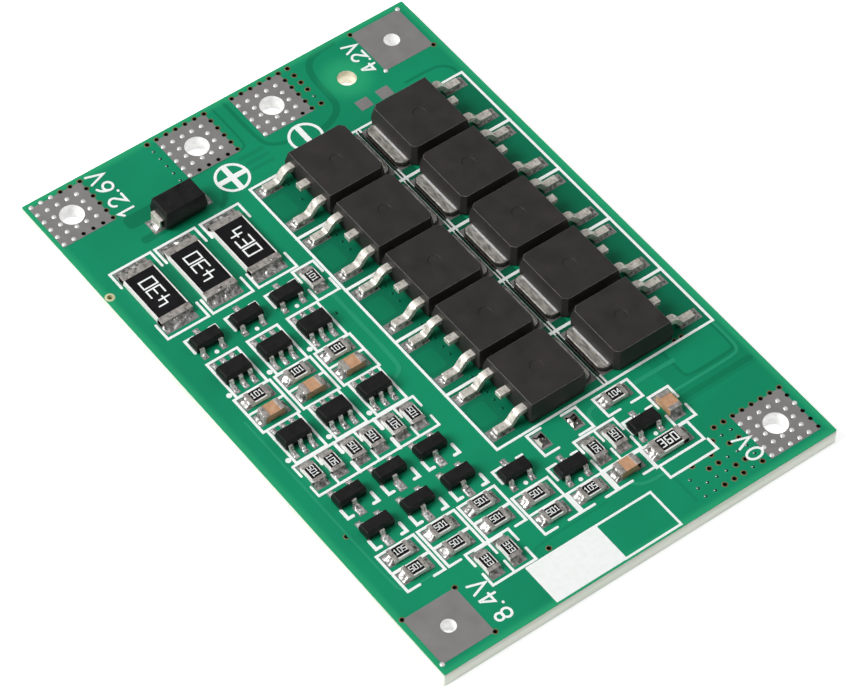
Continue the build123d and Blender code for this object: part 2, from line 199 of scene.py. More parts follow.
def islands(node):
    """The separate solids of a CAD node, as (low corner, high corner) in millimetres."""
    bm = bmesh.new()
    bm.from_mesh(NODES[node].data)
    merged(bm, CAD_WELD)
    seen, boxes = set(), []
    for start in bm.verts:
        if start.index in seen:
            continue
        seen.add(start.index)
        stack, group = [start], []
        while stack:
            v = stack.pop()
            group.append(v.co / MM)
            for e in v.link_edges:
                other = e.other_vert(v)
                if other.index not in seen:
                    seen.add(other.index)
                    stack.append(other)
        low = Vector([min(p[i] for p in group) for i in range(3)])
        high = Vector([max(p[i] for p in group) for i in range(3)])
        boxes.append((low, high))
    bm.free()
    boxes.sort(key=lambda b: (round(b[0].x, 3), round(b[0].y, 3)))
    return boxes


# CAD nodes with rounded edges

FLAT_ANGLE = math.radians(1)
SHARP_ANGLE = math.radians(25)
RECESS_SIDES = 28
ANY_TILT = -2


def softened(name, nodes, material, width, segments=2, recess=None, band=None):
    """A copy of CAD nodes with their edges rounded, which stands for them.

    With a pair of materials, the second one is on the faces whose normal's z is in the band: a colour painted
    by how each face tilts, which is a painted highlight on the power bodies' rounded edges and a painted
    shade on the tabs' sides.
    """
    bm = bmesh.new()
    for node in nodes:
        bm.from_mesh(NODES[node].data)
    merged(bm, CAD_WELD)
    bmesh.ops.dissolve_limit(bm, angle_limit=FLAT_ANGLE, verts=bm.verts, edges=bm.edges)
    sharp = [e for e in bm.edges if e.is_manifold and e.calc_face_angle() > SHARP_ANGLE]
    bmesh.ops.bevel(
        bm, geom=sharp, offset=width * MM, segments=segments, profile=0.5, affect="EDGES",
        clamp_overlap=True,
    )
    bmesh.ops.scale(bm, vec=(1 / MM, 1 / MM, 1 / MM), verts=bm.verts)
    if recess:
        sink_recess(bm, *recess)
    if band:
        bm.normal_update()
        for face in bm.faces:
            face.material_index = int(band[0] < face.normal.z < band[1])
    return piece(name, bm, material, nodes, weighted=True)


def sink_recess(bm, r, depth):
    """Sink a round recess into the middle of each flat top."""
    bm.normal_update()
    top_z = max(v.co.z for v in bm.verts)
    tops = [f for f in bm.faces if f.normal.z > 0.999 and abs(f.calc_center_median().z - top_z) < 1e-3]
    tops = [f for f in tops if f.calc_area() > 4 * r * r]
    for face in tops:
        loop = [(v.co.x, v.co.y) for v in face.verts]
        mid = face.calc_center_bounds()
        rim = circle(mid.x, mid.y, r, RECESS_SIDES)
        bm.faces.remove(face)
        points, faces = triangulated(loop, [rim])
        made = [bm.verts.new((p.x, p.y, top_z)) for p in points]
        for f in faces:
            bm.faces.new([made[i] for i in f])
        shares = ((1, 0), (0.97, 0.9), (0.9, 1), (0, 0.8))
        profile = [(r * out, top_z - depth * down) for out, down in shares]
        add_turned(bm, mid.x, mid.y, profile, RECESS_SIDES)
    merged(bm)


# Solder

CORNER_PULL = 0.09
RIPPLES_PER_MM = 3.1
SMOOTH_BELOW = 0.05
RIM_SINK = 0.004


def add_solder(bm, land, body, dome, climb, reach, pitch=0.13, rough=0.02, waist=0.0):
    """Solder over a land: a low dome that climbs the sides of the body that stands on it.

    u and v run from -1 to 1 over the land, rough is the height of the ripples, and waist is
    how far the middle is drawn in.
    """
    x0, x1, y0, y1 = land
    nx = max(4, round((x1 - x0) / pitch))
    ny = max(4, round((y1 - y0) / pitch))
    rows = []
    for j in range(ny + 1):
        v = 2 * j / ny - 1
        row = []
        for i in range(nx + 1):
            u = 2 * i / nx - 1
            pull = 1 - CORNER_PULL * u * u * v * v
            x = (x0 + x1) / 2 + (x1 - x0) / 2 * u * pull * (1 - waist * (1 - v * v))
            y = (y0 + y1) / 2 + (y1 - y0) / 2 * v * pull
            rim = (1 - u ** 8) * (1 - v ** 8)
            h = dome * (1 - u ** 4) * (1 - v ** 4)
            if body:
                dx = max(body[0] - x, x - body[1], 0)
                dy = max(body[2] - y, y - body[3], 0)
                h += climb * max(0, 1 - math.hypot(dx, dy) / reach) ** 2 * rim
            ripple = noise.noise(Vector((x * RIPPLES_PER_MM, y * RIPPLES_PER_MM, LAND_Z)))
            h += rough * rim * ripple * min(1, h / SMOOTH_BELOW)
            row.append(bm.verts.new((x, y, LAND_Z + max(h, 0) - RIM_SINK * (1 - rim))))
        rows.append(row)
    for j in range(ny):
        for i in range(nx):
            bm.faces.new((rows[j][i], rows[j][i + 1], rows[j + 1][i + 1], rows[j + 1][i]))


# Strokes: lettering and printed lines are flat ribbons with round ends

LIFT_STEP = 0.0004
LIFT_LIMIT = 0.03
CAP_STEPS = 6
SHARPEST = 0.35
lift = 0.0


def next_lift():
    """Each stroke lies a little over the one before, so that none share a plane."""
    global lift
    lift = (lift + LIFT_STEP) % LIFT_LIMIT
    return lift


def ribbon_sides(points, half, closed):
    """The points to the left and to the right of a line, half a width away."""
    n = len(points)
    left, right = [], []
    for i, p in enumerate(points):
        before = points[(i - 1) % n] if closed or i else None
        after = points[(i + 1) % n] if closed or i < n - 1 else None
        a = math.atan2(p[1] - before[1], p[0] - before[0]) if before else None
        b = math.atan2(after[1] - p[1], after[0] - p[0]) if after else None
        a = b if a is None else a
        b = a if b is None else b
        turn = (b - a + math.pi) % (2 * math.pi) - math.pi
        mean = a + turn / 2
        reach = half / max(math.cos(turn / 2), SHARPEST)
        left.append((p[0] - reach * math.sin(mean), p[1] + reach * math.cos(mean)))
        right.append((p[0] + reach * math.sin(mean), p[1] - reach * math.cos(mean)))
    return left, right


def round_end(centre, start, half):
    """The points of a round end, between one side of a ribbon and the other."""
    first = math.atan2(start[1] - centre[1], start[0] - centre[0])
    turns = [first + math.pi * i / CAP_STEPS for i in range(1, CAP_STEPS)]
    return [(centre[0] + half * math.cos(a), centre[1] + half * math.sin(a)) for a in turns]


def add_stroke(bm, points, width, z0, z1, closed=False):
    """A ribbon along a line, with its top a little over z1."""
    top = z1 + next_lift()
    half = width / 2
    if not closed and math.dist(points[0], points[-1]) < WELD:
        points, closed = points[:-1], True
    left, right = ribbon_sides(points, half, closed)
    if closed:
        for i in range(len(points)):
            j = (i + 1) % len(points)
            quad = [right[i], right[j], left[j], left[i]]
            bm.faces.new([bm.verts.new((x, y, top)) for x, y in quad])
        add_wall(bm, right, z0, top)
        add_wall(bm, left[::-1], z0, top)
        return
    loop = right + round_end(points[-1], right[-1], half)
    loop += left[::-1] + round_end(points[0], left[0], half)
    add_sheet(bm, loop, [], z0, top, bottom=False)


# Figures

def arc(cx, cy, rx, ry, start, end, steps):
    angles = [math.radians(start + (end - start) * i / steps) for i in range(steps + 1)]
    return [(cx + rx * math.cos(a), cy + ry * math.sin(a)) for a in angles]


FIGURE_W = 0.6
DOT_SPAN = 0.34
# Square figures of the resistor marks, in a box 0.6 wide and 1 high
SQUARE = {
    "0": [[(0, 0), (0.6, 0), (0.6, 1), (0, 1), (0, 0)]],
    "1": [[(0.3, 0), (0.3, 1)]],
    "3": [[(0, 1), (0.6, 1), (0.6, 0), (0, 0)], [(0.1, 0.5), (0.6, 0.5)]],
    "4": [[(0, 1), (0, 0.4), (0.6, 0.4)], [(0.42, 0), (0.42, 0.75)]],
    "5": [[(0.6, 1), (0, 1), (0, 0.5), (0.6, 0.5), (0.6, 0), (0, 0)]],
    "6": [[(0.6, 1), (0, 1), (0, 0), (0.6, 0), (0.6, 0.5), (0, 0.5)]],
}
# Round figures of the voltage marks, about as wide
ROUND = {
    "0": [arc(0.34, 0.5, 0.34, 0.5, 0, 360, 20)],
    "1": [[(0.05, 0.78), (0.32, 1), (0.32, 0)]],
    "2": [arc(0.3, 0.7, 0.3, 0.3, 170, -35, 10) + [(0.0, 0.0), (0.62, 0.0)]],
    "4": [[(0.46, 0), (0.46, 1), (0.4, 1), (0, 0.32), (0.36, 0.32)], [(0.4, 0.32), (0.62, 0.32)]],
    "6": [arc(0.72, 0.3, 0.7, 0.72, 112, 172, 6), arc(0.32, 0.3, 0.31, 0.3, 0, 360, 18)],
    "8": [arc(0.3, 0.76, 0.24, 0.24, 0, 360, 14), arc(0.3, 0.28, 0.3, 0.28, 0, 360, 16)],
    "V": [[(0, 1), (0.34, 0), (0.68, 1)]],
    ".": [[(-0.01, 0.02), (0.03, 0.02)]],
}
# The small chips have a round 4 and a 1 with a foot
SMALL = {**SQUARE, "1": [[(0.08, 0.8), (0.3, 1), (0.3, 0)], [(0.08, 0), (0.52, 0)]], "4": ROUND["4"]}


def add_text(bm, text, font, x, y, high, step, turn, width, z0, z1, slim=1.0):
    """A line of figures centred on x, y; step is from one figure to the next."""
    spans = [DOT_SPAN if c == "." else 1.0 for c in text]
    total = (sum(spans) - spans[-1]) * step + FIGURE_W * high * slim
    cos, sin = math.cos(math.radians(turn)), math.sin(math.radians(turn))
    start = -total / 2
    for c, span in zip(text, spans):
        for line in font[c]:
            points = []
            for px, py in line:
                u, v = start + px * high * slim, (py - 0.5) * high
                points.append((x + u * cos - v * sin, y + u * sin + v * cos))
            add_stroke(bm, points, width, z0, z1)
        start += span * step


# The board's own boxes give the places of what is on it

board_low, board_high = box_mm("laminate")
coat_low, coat_high = box_mm("solder_mask_top")
under_low, under_high = box_mm("solder_mask_bottom")
X0, X1, Y0, Y1 = board_low.x, board_high.x, board_low.y, board_high.y
COAT_Z = coat_high.z
LAND_Z = box_mm("terminal_plus")[1].z
LOCATING_INSET_X, LOCATING_INSET_Y = 4.55, 9.5
LOCATING = (X0 + LOCATING_INSET_X, Y1 - LOCATING_INSET_Y)


# Shader helpers

DARK_AT, PALE_AT = 0.3, 0.7


def shader(name):
    mat = bpy.data.materials.new(name)
    mat.use_nodes = True
    tree = mat.node_tree
    return mat, tree, tree.nodes["Principled BSDF"]


def srgb(r, g, b):
    """A colour given as the 0 to 255 values it should render at."""
    def linear(c):
        c /= 255
        return c / 12.92 if c <= 0.04045 else ((c + 0.055) / 1.055) ** 2.4
    return linear(r), linear(g), linear(b)


def place(tree):
    """The shaded point in the object's own space, whole and as its X, Y and Z."""
    coords = tree.nodes.new("ShaderNodeTexCoord").outputs["Object"]
    split = tree.nodes.new("ShaderNodeSeparateXYZ")
    tree.links.new(coords, split.inputs["Vector"])
    return coords, split.outputs


def grain(tree, scale, detail=3.0, stretch=(1, 1, 1)):
    """Noise in the object's own space; scale is in features per millimetre."""
    coords = tree.nodes.new("ShaderNodeTexCoord")
    mapping = tree.nodes.new("ShaderNodeMapping")
    mapping.inputs["Scale"].default_value = stretch
    texture = tree.nodes.new("ShaderNodeTexNoise")
    texture.inputs["Scale"].default_value = scale / MM
    texture.inputs["Detail"].default_value = detail
    tree.links.new(coords.outputs["Object"], mapping.inputs["Vector"])
    tree.links.new(mapping.outputs["Vector"], texture.inputs["Vector"])
    return texture.outputs["Fac"]


def two_tone(tree, value, dark, pale):
    """A colour that goes from dark to pale as the noise rises."""
    node = tree.nodes.new("ShaderNodeValToRGB")
    for element, at, colour in zip(node.color_ramp.elements, (DARK_AT, PALE_AT), (dark, pale)):
        element.position = at
        element.color = (*colour, 1)
    tree.links.new(value, node.inputs["Fac"])
    return node.outputs["Color"]


def mapped(tree, value, low, high, kind="LINEAR"):
    """A value brought from one span to another; low and high are (from, to) pairs."""
    node = tree.nodes.new("ShaderNodeMapRange")
    node.interpolation_type = kind
    for end, (start, result) in (("Min", low), ("Max", high)):
        node.inputs[f"From {end}"].default_value = start
        node.inputs[f"To {end}"].default_value = result
    tree.links.new(value, node.inputs["Value"])
    return node.outputs["Result"]


def maths(tree, kind, a, b=None):
    """What a Math node makes of one or two values, each of them a number or a socket."""
    node = tree.nodes.new("ShaderNodeMath")
    node.operation = kind
    for socket, x in zip(node.inputs, (a, b)):
        if isinstance(x, float):
            socket.default_value = x
        elif x is not None:
            tree.links.new(x, socket)
    return node.outputs["Value"]


def bump(tree, bsdf, height, distance):
    node = tree.nodes.new("ShaderNodeBump")
    node.inputs["Strength"].default_value = 1.0
    node.inputs["Distance"].default_value = distance * MM
    tree.links.new(height, node.inputs["Height"])
    tree.links.new(node.outputs["Normal"], bsdf.inputs["Normal"])


def mottled(
    name, dark, pale, scale, rough=(0.4, 0.5), metallic=0.0, height=0.0, fine=None,
    stretch=(1, 1, 1), mirror=0.5,
):
    """Colour and roughness that vary with one noise, and relief from a finer one.

    dark and pale are 0 to 255 values.
    """
    mat, tree, bsdf = shader(name)
    bsdf.inputs["Specular IOR Level"].default_value = mirror
    bsdf.inputs["Metallic"].default_value = metallic
    value = grain(tree, scale, stretch=stretch)
    tree.links.new(two_tone(tree, value, srgb(*dark), srgb(*pale)), bsdf.inputs["Base Color"])
    roughness = mapped(tree, value, (DARK_AT, rough[0]), (PALE_AT, rough[1]))
    tree.links.new(roughness, bsdf.inputs["Roughness"])
    if height:
        bump(tree, bsdf, grain(tree, fine or scale * 4), height)
    return mat


def glow(mat, colour, strength):
    """A little light of its own, for what the light shines through."""
    bsdf = mat.node_tree.nodes["Principled BSDF"]
    bsdf.inputs["Emission Color"].default_value = (*colour, 1)
    bsdf.inputs["Emission Strength"].default_value = strength


def glow_below(mat, colour, strength, low, high):
    """The same, growing from nothing at one height to its full strength at a lower one."""
    glow(mat, colour, 0.0)
    tree = mat.node_tree
    fade = mapped(tree, place(tree)[1]["Z"], (low * MM, strength), (high * MM, 0.0))
    tree.links.new(fade, tree.nodes["Principled BSDF"].inputs["Emission Strength"])


# The green coat

# Painted light: the paler green that the coat takes close to the board's edges and round the plain hole
COAT_PAINTED_GLOW = srgb(42, 166, 114)
COAT_DARKER, COAT_PALER = 0.93, 1.08
COAT_GRAIN, COAT_RELIEF = 0.12, 1.6
RIM_FROM, RIM_TO, RIM_SHARE = 0.1, 0.9, 0.8
HOLE_RIM_R, HOLE_RIM_SPREAD = 0.95, 0.42


def coat(name, colour):
    """The coat is paler close to the board's edges and round the plain hole: painted light, for light that
    comes through the board there.
    """
    mat, tree, bsdf = shader(name)
    dark = tuple(c * COAT_DARKER for c in colour)
    pale = tuple(c * COAT_PALER for c in colour)
    base = two_tone(tree, grain(tree, COAT_GRAIN, 2.0), dark, pale)
    coords, axes = place(tree)
    side = maths(tree, "SUBTRACT", X1 * MM, maths(tree, "ABSOLUTE", axes["X"]))
    end = maths(tree, "SUBTRACT", Y1 * MM, maths(tree, "ABSOLUTE", axes["Y"]))
    away = tree.nodes.new("ShaderNodeVectorMath")
    away.operation = "DISTANCE"
    tree.links.new(coords, away.inputs[0])
    away.inputs[1].default_value = (LOCATING[0] * MM, LOCATING[1] * MM, COAT_Z * MM)
    hole = maths(tree, "SUBTRACT", away.outputs["Value"], HOLE_RIM_R * MM)
    hole = maths(tree, "MULTIPLY", hole, HOLE_RIM_SPREAD)
    near = maths(tree, "MINIMUM", maths(tree, "MINIMUM", side, end), hole)
    mix = tree.nodes.new("ShaderNodeMix")
    mix.data_type = "RGBA"
    share = mapped(tree, near, (RIM_FROM * MM, RIM_SHARE), (RIM_TO * MM, 0.0), "SMOOTHSTEP")
    tree.links.new(share, mix.inputs[0])
    tree.links.new(base, mix.inputs[6])
    mix.inputs[7].default_value = (*COAT_PAINTED_GLOW, 1)
    tree.links.new(mix.outputs[2], bsdf.inputs["Base Color"])
    bsdf.inputs["Roughness"].default_value = 0.42
    bsdf.inputs["Specular IOR Level"].default_value = 0.15
    bump(tree, bsdf, grain(tree, COAT_RELIEF), 0.003)
    return mat


MASK = coat("solder_mask", srgb(16, 140, 100))
MASK_SOFT = coat("solder_mask_between_pours", srgb(14, 132, 94))
# The gaps' darker green, which also serves as painted shade on the pours among the transistors' leads
MASK_GAP_AND_SHADE = coat("solder_mask_over_gap_and_painted_shade", srgb(10, 122, 86))
# Darker than the other gaps: painted shade of the transistors, over the gaps' own darker green
MASK_LEAD_GAPS_AND_SHADE = coat("solder_mask_among_leads_painted_shade", srgb(10, 112, 80))
# Painted shade: dark green for the coat shaded between the tall transistor bodies
MASK_SHADE_BETWEEN_TABS = coat("solder_mask_painted_shade_between_tabs", srgb(8, 98, 68))
# The seam's gap between pours, darkened further as painted shade of the two rows of transistors
MASK_SEAM_GAP_AND_SHADE = coat("solder_mask_in_seam_painted_shade", srgb(4, 56, 40))
MASK_SUNK = coat("solder_mask_over_hole", srgb(0, 62, 44))
# The traces' paler green, which also serves as a painted highlight in the covered holes among the leads and
# on the trace
MASK_TRACE_AND_GLINT = coat("solder_mask_over_trace_and_painted_glint", srgb(36, 150, 112))
MASK_RING = mottled("solder_mask_ring", (96, 92, 58), (130, 112, 76), 0.6, (0.4, 0.5), height=0.003)
PALE_RING = mottled("pale_ring", (196, 196, 150), (214, 212, 172), 1.0, (0.4, 0.5), height=0.003)

# The board's glass epoxy

LAMINATE = mottled(
    "glass_epoxy", (200, 214, 192), (240, 243, 232), 0.5, (0.5, 0.65), height=0.01, fine=3.0,
    stretch=(0.25, 0.25, 5),
)
# Painted light: the board's edge glows, more towards its bottom, for light that comes through the glass epoxy
glow_below(LAMINATE, (0.93, 0.96, 0.88), 0.25, 0.75, 1.5)
HOLE_SIDE = mottled("cut_glass_epoxy", (208, 198, 168), (244, 240, 222), 1.2, (0.5, 0.65), height=0.004)
# Painted light: the plain hole's wall glows the same way
glow_below(HOLE_SIDE, (0.97, 0.96, 0.9), 0.35, 0.5, 1.4)

# Tin and solder

# Painted shade: the open holes' plated walls are coloured dark, for the shade deep in the narrow holes
PAINTED_SHADE_WALL = mottled("hole_wall", (34, 30, 26), (66, 54, 42), 1.0, (0.3, 0.4), 0.4, height=0.003)
BARREL = mottled("plated_wall", (200, 200, 198), (240, 240, 238), 1.5, (0.3, 0.4), 0.2, height=0.003)
# Painted light: the terminals' plated walls glow a little, so that their holes look bright
glow(BARREL, (1, 1, 1), 0.22)
TINNED = mottled(
    "tinned_lands", (134, 132, 130), (144, 142, 140), 0.6, (0.5, 0.6), 0.3,
    height=0.002, fine=6.0,
)
TIN = mottled(
    "tin_plate", (200, 194, 184), (246, 241, 231), 2.5, (0.24, 0.38), 0.45,
    height=0.012, fine=5.0,
)
LEAD_TIN = mottled(
    "lead_tin", (128, 124, 118), (254, 252, 248), 4.0, (0.2, 0.35), 0.4,
    height=0.012, fine=6.0,
)
TAB = mottled(
    "tab_metal", (126, 123, 116), (208, 204, 196), 3.0, (0.3, 0.45), 0.5,
    height=0.014, fine=5.0, stretch=(0.5, 1.4, 1.4),
)
# Painted shade: a darker metal for the tabs' sides and rounded edges
TAB_SIDE_SHADE = mottled("tab_edge", (52, 50, 45), (92, 89, 82), 2.0, (0.35, 0.5), 0.6, height=0.006, fine=6.0)
CHIP_END = mottled(
    "chip_end", (158, 152, 146), (208, 202, 196), 3.0, (0.25, 0.45), 0.6,
    height=0.012, fine=6.0,
)
SOLDER = mottled("solder", (88, 86, 82), (204, 202, 198), 2.6, (0.2, 0.34), 0.6, height=0.02, fine=3.0)
WET = mottled(
    "wet_solder", (130, 128, 122), (176, 174, 168), 0.8, (0.06, 0.14), 1.0,
    height=0.004, fine=1.5,
)
JOINT = mottled(
    "small_joint", (66, 64, 60), (252, 252, 250), 5.0, (0.16, 0.3), 0.35,
    height=0.02, fine=7.0,
)
# Painted highlight: a near-white metal standing for glints, on the filled holes' beads, the covered holes'
# specks and the lines along the tabs
PAINTED_GLINT_WHITE = mottled("solder_painted_glint_white", (232, 232, 230), (250, 250, 249), 2.2, (0.2, 0.3), 0.3, height=0.004)

# Packages and ink

POWER_EPOXY = mottled(
    "power_epoxy", (42, 40, 38), (51, 48, 46), 0.5, (0.45, 0.6),
    height=0.005, fine=9.0, mirror=0.3,
)
# Painted highlight: a paler epoxy for the power bodies' rounded edges
POWER_EDGE_HIGHLIGHT = mottled("power_epoxy_edge_painted_highlight", (66, 64, 61), (112, 108, 104), 3.0, (0.4, 0.55), height=0.004)
PACKAGE_EPOXY = mottled(
    "package_epoxy", (19, 18, 19), (29, 28, 29), 1.5, (0.36, 0.5),
    height=0.005, fine=9.0, mirror=0.25,
)
CERAMIC = mottled("ceramic", (238, 235, 231), (250, 249, 246), 3.0, (0.45, 0.6), height=0.004)
GLAZE = mottled("resistor_glaze", (14, 13, 15), (24, 22, 25), 2.0, (0.35, 0.45), height=0.003, mirror=0.2)
CAPACITOR = mottled("capacitor_ceramic", (184, 138, 102), (206, 162, 127), 2.0, (0.4, 0.55), height=0.004)
INK = mottled("white_ink", (244, 249, 246), (252, 254, 253), 2.0, (0.5, 0.65), height=0.003)

# Places of the drilled holes

TERMINALS = (
    "terminal_12v6", "terminal_plus", "terminal_minus", "terminal_4v2", "terminal_8v4", "terminal_0v",
)
WIRE_R, TAP_R, CORNER_HOLE_R, LOCATING_R = 1.12, 0.75, 0.68, 0.85
HOLE_R = {n: WIRE_R for n in TERMINALS}
HOLE_R["terminal_4v2"] = TAP_R
HOLE_R["terminal_8v4"] = CORNER_HOLE_R
HOLE_SIDES = 40
LOCATING_SIDES = 36
VIA_R = 0.2
VIA_SIDES = 12
WIDE_VIA = (-17.3, -20.0, 0.25)
WIDE_VIA_SIDES = 16
VIA_PITCH = 1.01
GRID_LEFT = -2.7
GRID_TOP = 2.65

# Plated holes in and round the terminals, row by row from the far edge: o is open,
# s is filled with solder, g is covered by the green coat
VIA_MAPS = {
    "terminal_12v6": (0, "oooooo osssso os..so ss..so ssssss ssssss"),
    "terminal_plus": (0, "oooooo osssso os..so os..so osssso osssss oggggg"),
    "terminal_minus": (-1, "oooogo oooooo osssso os..ss os..ss osssss osssss"),
    "terminal_0v": (
        0,
        "oosooo osssss os..ss os..ss osssss osssss "
        "ogoggo ogogog .o.goo ..oogo ...ogo ..o.gg ...ggg",
    ),
}
# The same at the corners of the other two, clockwise from the upper left one
CORNER_VIAS = {"terminal_4v2": "soso", "terminal_8v4": "ooso"}
LONE_VIAS = [(14.55, -18.7), (25.2, -6.2), (14.7, 16.35), (14.7, 15.6)]
LEAD_VIA_Y = -0.5
LEAD_VIA_X = (
    -18.5, -16.5, -11.5, -10.6, -9.5, -4.5, -3.5, -2.5, 0.6, 2.5, 3.6, 4.6, 7.6, 9.6, 10.6, 11.7,
)
LEAD_VIAS = [(x, LEAD_VIA_Y) for x in LEAD_VIA_X]
TRACE_VIA = (-4.6, -5.6)

open_vias, solder_vias, covered_vias = [], [], []
VIAS_OF_KIND = {"o": open_vias, "s": solder_vias, "g": covered_vias}
for node, (first_row, rows) in VIA_MAPS.items():
    cx, cy = middle(*box_mm(node))
    for j, row in enumerate(rows.split()):
        for i, kind in enumerate(row):
            spot = (cx + GRID_LEFT + VIA_PITCH * i, cy + GRID_TOP - VIA_PITCH * (j + first_row))
            if kind in VIAS_OF_KIND:
                VIAS_OF_KIND[kind].append(spot)
for node, kinds in CORNER_VIAS.items():
    for spot, kind in zip(reversed(corners_of(*box_mm(node))), kinds):
        VIAS_OF_KIND[kind].append(spot)
open_vias += LONE_VIAS


def terminal_at(x, y, margin=0.0):
    """The terminal whose land holds a place, or none."""
    for node in TERMINALS:
        low, high = box_mm(node)
        if low.x - margin < x < high.x + margin and low.y - margin < y < high.y + margin:
            return node
    return None


clear_vias = [(x, y) for x, y in open_vias if not terminal_at(x, y)]
through = [circle(x, y, VIA_R, VIA_SIDES) for x, y in open_vias]
wide_hole = circle(*WIDE_VIA, WIDE_VIA_SIDES)
wire_holes = {n: circle(*middle(*box_mm(n)), HOLE_R[n], HOLE_SIDES) for n in TERMINALS}

# The bare board

CORNER_R = 0.15
HOLE_LINER = 0.006

board_outline = rounded_rect(X0, X1, Y0, Y1, CORNER_R)
board_holes = through + list(wire_holes.values())
board_holes += [circle(*LOCATING, LOCATING_R, LOCATING_SIDES), wide_hole]
bm = bmesh.new()
add_sheet(bm, board_outline, board_holes, under_high.z, coat_low.z)
piece("board", merged(bm), LAMINATE, ["laminate"])
bm = bmesh.new()
liner_r = LOCATING_R - HOLE_LINER
add_turned(bm, *LOCATING, [(liner_r, coat_low.z), (liner_r, under_high.z)], LOCATING_SIDES)
piece("plain_hole_wall", bm, HOLE_SIDE)

# Coats: the terminals' lands are let into them, so their outlines are openings

COAT_BACK = 0.05

coat_holes = through + [wide_hole, circle(*LOCATING, LOCATING_R + COAT_BACK, LOCATING_SIDES)]
coat_holes += [corners_of(*box_mm(node)) for node in TERMINALS]
for name, node, low, high in (
    ("top_coat", "solder_mask_top", coat_low, coat_high),
    ("bottom_coat", "solder_mask_bottom", under_low, under_high),
):
    bm = bmesh.new()
    add_sheet(bm, board_outline, coat_holes, low.z, high.z)
    piece(name, merged(bm), MASK, [node])

# Terminals: plates on both sides with their rows of small holes, joined by a plated wall

LAND_ROOT = 0.01
BARREL_T = 0.01
BARREL_FOOT, BARREL_TOP = 0.01, LAND_Z - 0.004

for node in TERMINALS:
    bm = bmesh.new()
    own = [(x, y) for x, y in open_vias if terminal_at(x, y, VIA_R) == node]
    holes = [circle(x, y, VIA_R, VIA_SIDES) for x, y in own] + [wire_holes[node]]
    outline = corners_of(*box_mm(node))
    add_sheet(bm, outline, holes, coat_low.z - LAND_ROOT, LAND_Z)
    add_sheet(bm, outline, holes, 0, under_high.z)
    barrel = circle(*middle(*box_mm(node)), HOLE_R[node] - BARREL_T, HOLE_SIDES)
    add_wall(bm, barrel[::-1], BARREL_FOOT, BARREL_TOP, 1)
    piece(node.replace("terminal", "land"), merged(bm), (TINNED, BARREL), [node])

# Solder stands in the filled holes as small beads, coloured near white as a painted highlight

BEAD_R = 0.23
BEAD_PROFILE = ((1, -0.01), (0.85, 0.03), (0.5, 0.055), (0, 0.06))

bm = bmesh.new()
for x, y in solder_vias:
    add_turned(bm, x, y, [(BEAD_R * share, LAND_Z + rise) for share, rise in BEAD_PROFILE], VIA_SIDES)
piece("filled_holes", bm, PAINTED_GLINT_WHITE)

# Open holes have a plated wall coloured dark, a painted shade of the deep narrow hole, and a ring that shows
# through the coat

VIA_RING = 0.09
WIDE_RING = 0.2
VIA_FOOT = 0.03
VIA_WALL = [(VIA_R - 0.01, LAND_Z - 0.005), (VIA_R - 0.02, VIA_FOOT)]
RING_PROFILE = [
    (VIA_R + VIA_RING, COAT_Z), (VIA_R + VIA_RING * 0.7, COAT_Z + 0.014), (VIA_R - 0.01, COAT_Z + 0.008),
]

bm = bmesh.new()
for x, y in open_vias:
    add_turned(bm, x, y, VIA_WALL, VIA_SIDES)
piece("hole_walls", bm, PAINTED_SHADE_WALL)
bm = bmesh.new()
for x, y in clear_vias:
    add_turned(bm, x, y, RING_PROFILE, VIA_SIDES)
x, y, r = WIDE_VIA
wide_ring = [(r + WIDE_RING, COAT_Z), (r + WIDE_RING * 0.85, COAT_Z + 0.015), (r, COAT_Z + 0.012)]
add_turned(bm, x, y, wide_ring + [(r - 0.01, 0.05)], WIDE_VIA_SIDES, 1)
piece("hole_rings", bm, (MASK_RING, PALE_RING))

# Covered holes: a low rim, a hollow in it and a small pale speck in the hollow, a painted highlight

COVERED_R = 0.16
HOLLOW_Z = COAT_Z + 0.004
COVERED_RIM = [
    (COVERED_R * 1.5, HOLLOW_Z - 0.006), (COVERED_R * 1.15, HOLLOW_Z + 0.01), (COVERED_R, HOLLOW_Z + 0.006),
]
HOLLOW = [(COVERED_R, HOLLOW_Z + 0.006), (COVERED_R * 0.5, HOLLOW_Z + 0.001), (0, HOLLOW_Z)]
GLINT_SPECK = [(0.07, HOLLOW_Z), (0.05, HOLLOW_Z + 0.012), (0, HOLLOW_Z + 0.016)]
SPECK_X, SPECK_Y, SPECK_SIDES = -0.05, -0.06, 8


def add_covered_hole(bm, x, y, rim_index, glint_index):
    add_turned(bm, x, y, COVERED_RIM, VIA_SIDES, rim_index)
    add_turned(bm, x, y, HOLLOW, VIA_SIDES)
    add_turned(bm, x + SPECK_X, y + SPECK_Y, GLINT_SPECK, SPECK_SIDES, glint_index)


bm = bmesh.new()
for x, y in covered_vias:
    add_covered_hole(bm, x, y, 1, 3)
for x, y in LEAD_VIAS + [TRACE_VIA]:
    add_covered_hole(bm, x, y, 2, 1)
piece("covered_holes", bm, (MASK_SUNK, MASK_TRACE_AND_GLINT, MASK_GAP_AND_SHADE, PAINTED_GLINT_WHITE))

# Copper under the coat: gaps show darker, traces paler and a little raised. Among and between the power
# transistors, darker green sheets are also painted shade

POWER = [f"{i:02d}" for i in range(1, 11)]
ROW_COUNT = 5
POWER_X = sorted({round(middle(*box_mm(f"mosfet_body_{i}"))[0], 3) for i in POWER[:ROW_COUNT]})
# The printed grid round them, and the seam between their two rows
GRID_X = (-20.1, -13.2, -6.2, 0.8, 7.8, 14.75)
GRID_Y = (-3.45, 19.65)
SEAM_Y = 8.06
RELIEF_ROOT = 0.004


def between(p, q, share):
    return tuple(a * (1 - share) + b * share for a, b in zip(p, q))


def eased(points):
    """The same line with each corner cut to a softer one."""
    made = [points[0]]
    for p, q in zip(points, points[1:]):
        made += [between(p, q, 0.25), between(p, q, 0.75)]
    return made + [points[-1]]


